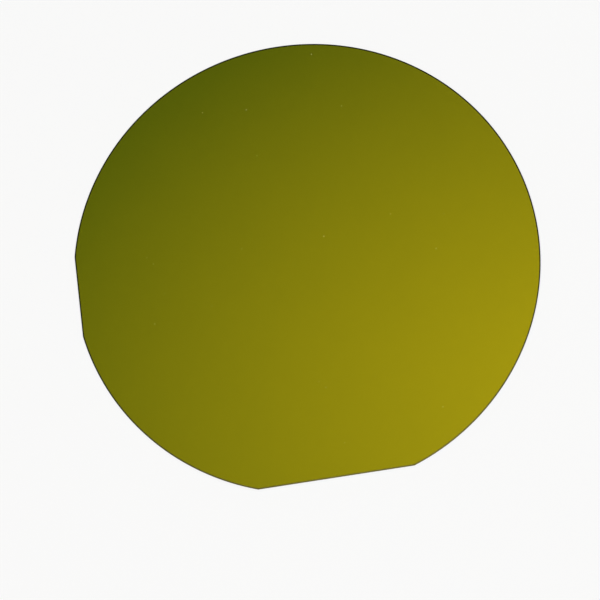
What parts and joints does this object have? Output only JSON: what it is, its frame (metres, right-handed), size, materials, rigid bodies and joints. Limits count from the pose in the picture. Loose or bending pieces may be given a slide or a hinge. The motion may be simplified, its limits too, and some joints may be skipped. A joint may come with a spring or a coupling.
{
  "type": "silicon carbide wafer",
  "caption": "Thin round see-through crystal wafer with a long and a short straight flat on its rim and a ground, bevelled edge all round.",
  "frame": {"origin": "centre of the round rim on the back face, which the wafer lies on", "axes": "+Z leaves the front (silicon) face; -Y faces out of the primary flat; -X faces out of the secondary flat, a quarter turn clockwise from the primary one seen from +Z"},
  "size_m": [0.0992, 0.0973, 0.0003],
  "materials": {
    "silicon_carbide": "polished on both faces, transparent olive green; ground matt on the bevelled edge"
  },
  "bodies": {
    "root": {"wafer": "silicon_carbide"}
  },
  "joints": []
}
